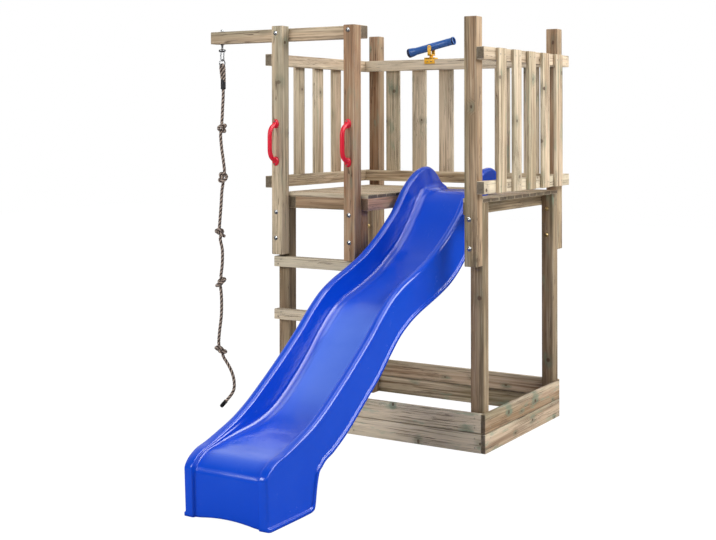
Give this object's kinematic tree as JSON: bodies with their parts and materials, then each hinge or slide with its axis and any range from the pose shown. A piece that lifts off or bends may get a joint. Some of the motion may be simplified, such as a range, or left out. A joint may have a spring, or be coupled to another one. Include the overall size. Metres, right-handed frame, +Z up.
{
  "type": "play tower",
  "caption": "Wooden play tower: raised fenced deck, wavy slide, ladder, knotted climbing rope on an overhanging beam, sandbox base, hand grips and a small telescope.",
  "frame": {"origin": "on the ground under the middle of the tower's box", "axes": "+Z up, +Y from the slide's foot to the back fence, +X from the rope and ladder side to the slide side"},
  "size_m": [1.8193, 2.658, 2.2343],
  "materials": {
    "treated_pine": "sawn and planed pressure-treated pine, weathered, with a green tint",
    "deck_pine": "planed pressure-treated pine boards",
    "sandbox_pine": "sawn pressure-treated pine boards with knots and green stains",
    "fence_pine": "planed pale pine",
    "slide_plastic": "glossy moulded polyethylene",
    "handle_plastic": "satin moulded plastic",
    "navy_plastic": "glossy moulded plastic",
    "yellow_plastic": "satin moulded plastic",
    "galvanised_steel": "bright zinc coating",
    "rope_fibre": "twisted rope of dark and beige strands",
    "black_plastic": "rough black sleeve and cap"
  },
  "bodies": {
    "tower": {"leg_front_left": "treated_pine", "leg_front_middle": "treated_pine", "leg_front_right": "treated_pine", "leg_back_left": "treated_pine", "leg_back_right": "treated_pine", "post_front_left": "treated_pine", "post_front_middle": "treated_pine", "post_front_right": "treated_pine", "post_back_left": "treated_pine", "post_back_right": "treated_pine", "joist_left": "treated_pine", "joist_middle": "treated_pine", "joist_right": "treated_pine", "rung_1": "treated_pine", "rung_2": "treated_pine", "rung_3": "treated_pine", "rope_beam": "treated_pine", "deck": "deck_pine", "sandbox_front_lower": "sandbox_pine", "sandbox_front_upper": "sandbox_pine", "sandbox_back_lower": "sandbox_pine", "sandbox_back_upper": "sandbox_pine", "sandbox_left_lower": "sandbox_pine", "sandbox_left_upper": "sandbox_pine", "sandbox_right_lower": "sandbox_pine", "sandbox_right_upper": "sandbox_pine", "rail_left_lower": "fence_pine", "rail_left_upper": "fence_pine", "rail_right_lower": "fence_pine", "rail_right_upper": "fence_pine", "rail_back_lower": "fence_pine", "rail_back_upper": "fence_pine", "slat_left_1": "fence_pine", "slat_left_2": "fence_pine", "slat_left_3": "fence_pine", "slat_left_4": "fence_pine", "slat_left_5": "fence_pine", "slat_right_1": "fence_pine", "slat_right_2": "fence_pine", "slat_right_3": "fence_pine", "slat_right_4": "fence_pine", "slat_right_5": "fence_pine", "slat_back_1": "fence_pine", "slat_back_2": "fence_pine", "slat_back_3": "fence_pine", "slat_back_4": "fence_pine", "slat_back_5": "fence_pine", "slat_back_6": "fence_pine", "slide": "slide_plastic", "handle_left": "handle_plastic", "handle_middle": "handle_plastic", "telescope_base": "yellow_plastic", "rope_hanger": "galvanised_steel"},
    "telescope_fork": {"telescope_fork": "yellow_plastic"},
    "telescope_tube": {"telescope_tube": "navy_plastic"},
    "rope_link": {"rope_link": "galvanised_steel"},
    "climbing_rope": {"rope_ring": "galvanised_steel", "rope_eye": "black_plastic", "climbing_rope": "rope_fibre", "rope_end_cap": "black_plastic"}
  },
  "joints": [
    {"name": "telescope_pan", "type": "hinge", "parent": "tower", "child": "telescope_fork", "pos_m": [0.0342, 1.23725, 2.0843], "axis": [0, 0, 1], "continuous": true},
    {"name": "telescope_tilt", "type": "hinge", "parent": "telescope_fork", "child": "telescope_tube", "pos_m": [0.0342, 1.23725, 2.149], "axis": [0, -1, 0], "range_deg": [-29, 4]},
    {"name": "rope_swing", "type": "hinge", "parent": "tower", "child": "rope_link", "pos_m": [-0.8508, 0.30645, 2.11], "axis": [1, 0, 0], "range_deg": [-60, 60]},
    {"name": "rope_sway", "type": "hinge", "parent": "rope_link", "child": "climbing_rope", "pos_m": [-0.8508, 0.30645, 2.0591], "axis": [0, 1, 0], "range_deg": [-9, 45]}
  ]
}
